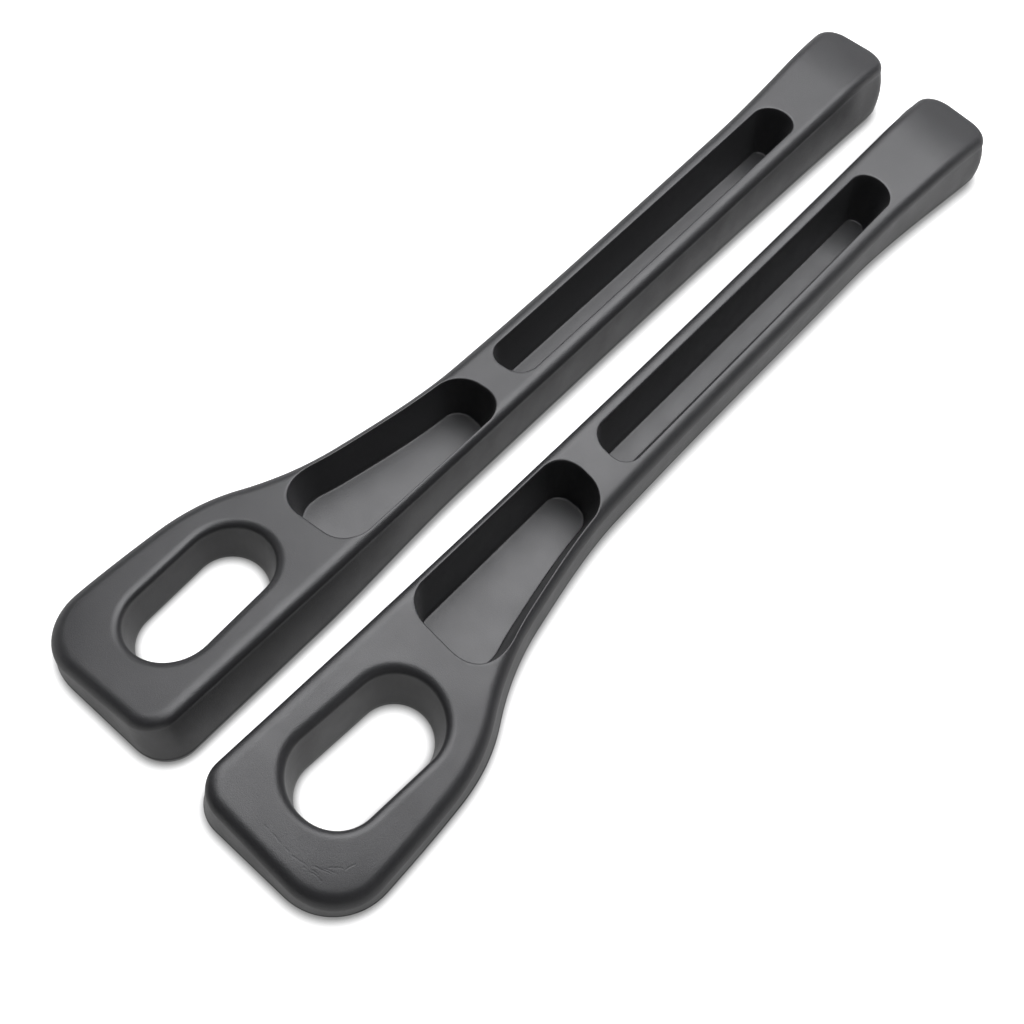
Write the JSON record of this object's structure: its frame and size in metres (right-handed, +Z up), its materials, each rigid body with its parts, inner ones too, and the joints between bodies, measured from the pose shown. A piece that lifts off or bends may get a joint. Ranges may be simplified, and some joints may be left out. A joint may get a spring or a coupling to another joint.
{
  "type": "car seat gap filler pair",
  "caption": "Mirror-image pair of moulded foam bars that fill the gaps beside front car seats; wide head with a belt buckle hole, tapered pocket, long slot.",
  "frame": {"origin": "middle of the pair on the flat surface that both bars lie on", "axes": "+X along both bars from the wide heads to the tails, +Y towards the left bar as seen from the heads, +Z up"},
  "size_m": [0.4616, 0.147, 0.0313],
  "materials": {
    "foam": "satin closed-cell foam skin"
  },
  "bodies": {
    "root": {"left_gap_filler": "foam", "right_gap_filler": "foam"}
  },
  "joints": []
}
